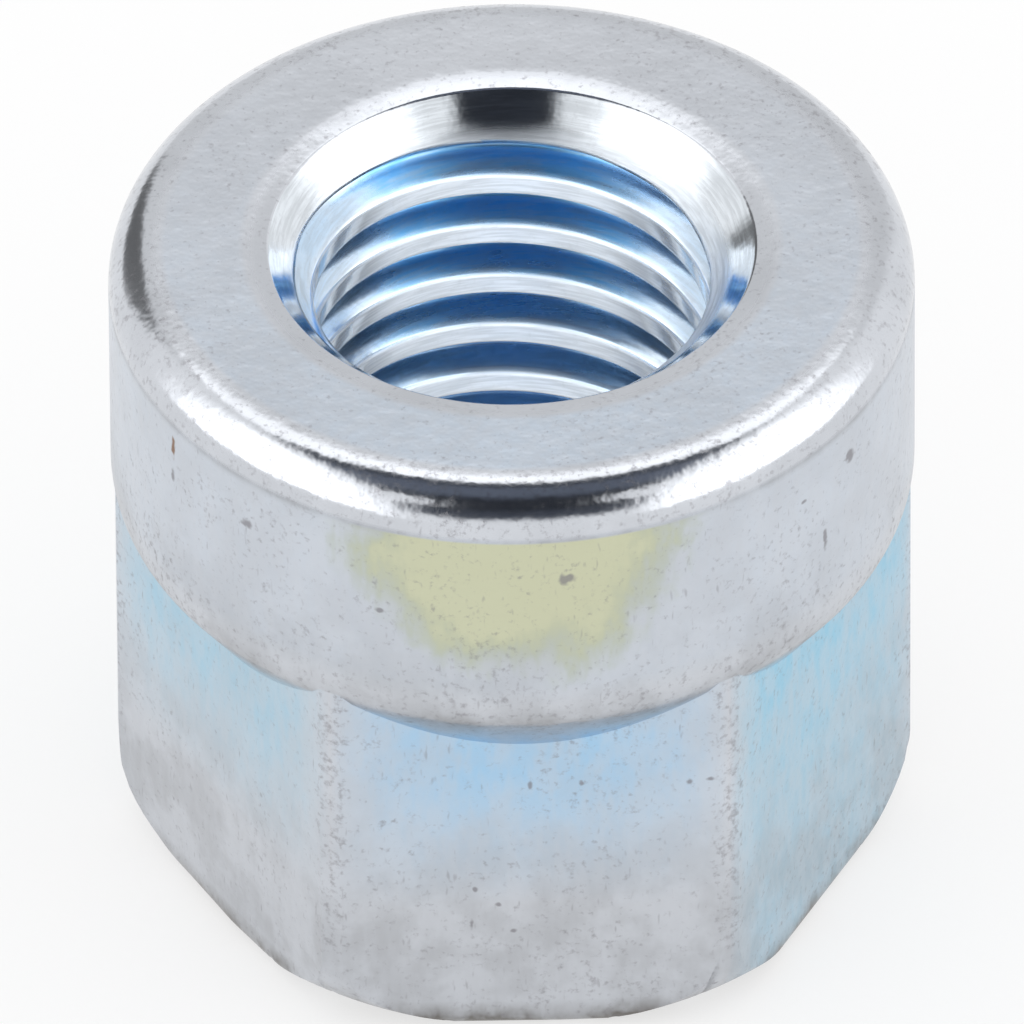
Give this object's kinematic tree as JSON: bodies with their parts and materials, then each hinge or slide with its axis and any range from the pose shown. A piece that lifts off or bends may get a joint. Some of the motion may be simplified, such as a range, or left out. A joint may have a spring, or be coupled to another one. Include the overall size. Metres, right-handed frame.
{
  "type": "shaft nut",
  "caption": "Hexagon nut with a round collar and a fine-threaded bore right through it, countersunk at both ends, that clamps a wheel on a shaft.",
  "frame": {"origin": "middle of the end face of the hexagon, on the bore's axis", "axes": "+Z along the bore from the hexagon towards the collar, one flat of the hexagon faces -Y and two of its corners lie along X"},
  "size_m": [0.0124, 0.0124, 0.0114],
  "materials": {
    "zinc_plate": "bright zinc plate with a pale blue passivate, satin outside and shiny in the bore"
  },
  "bodies": {
    "root": {"shaft_nut": "zinc_plate"}
  },
  "joints": []
}
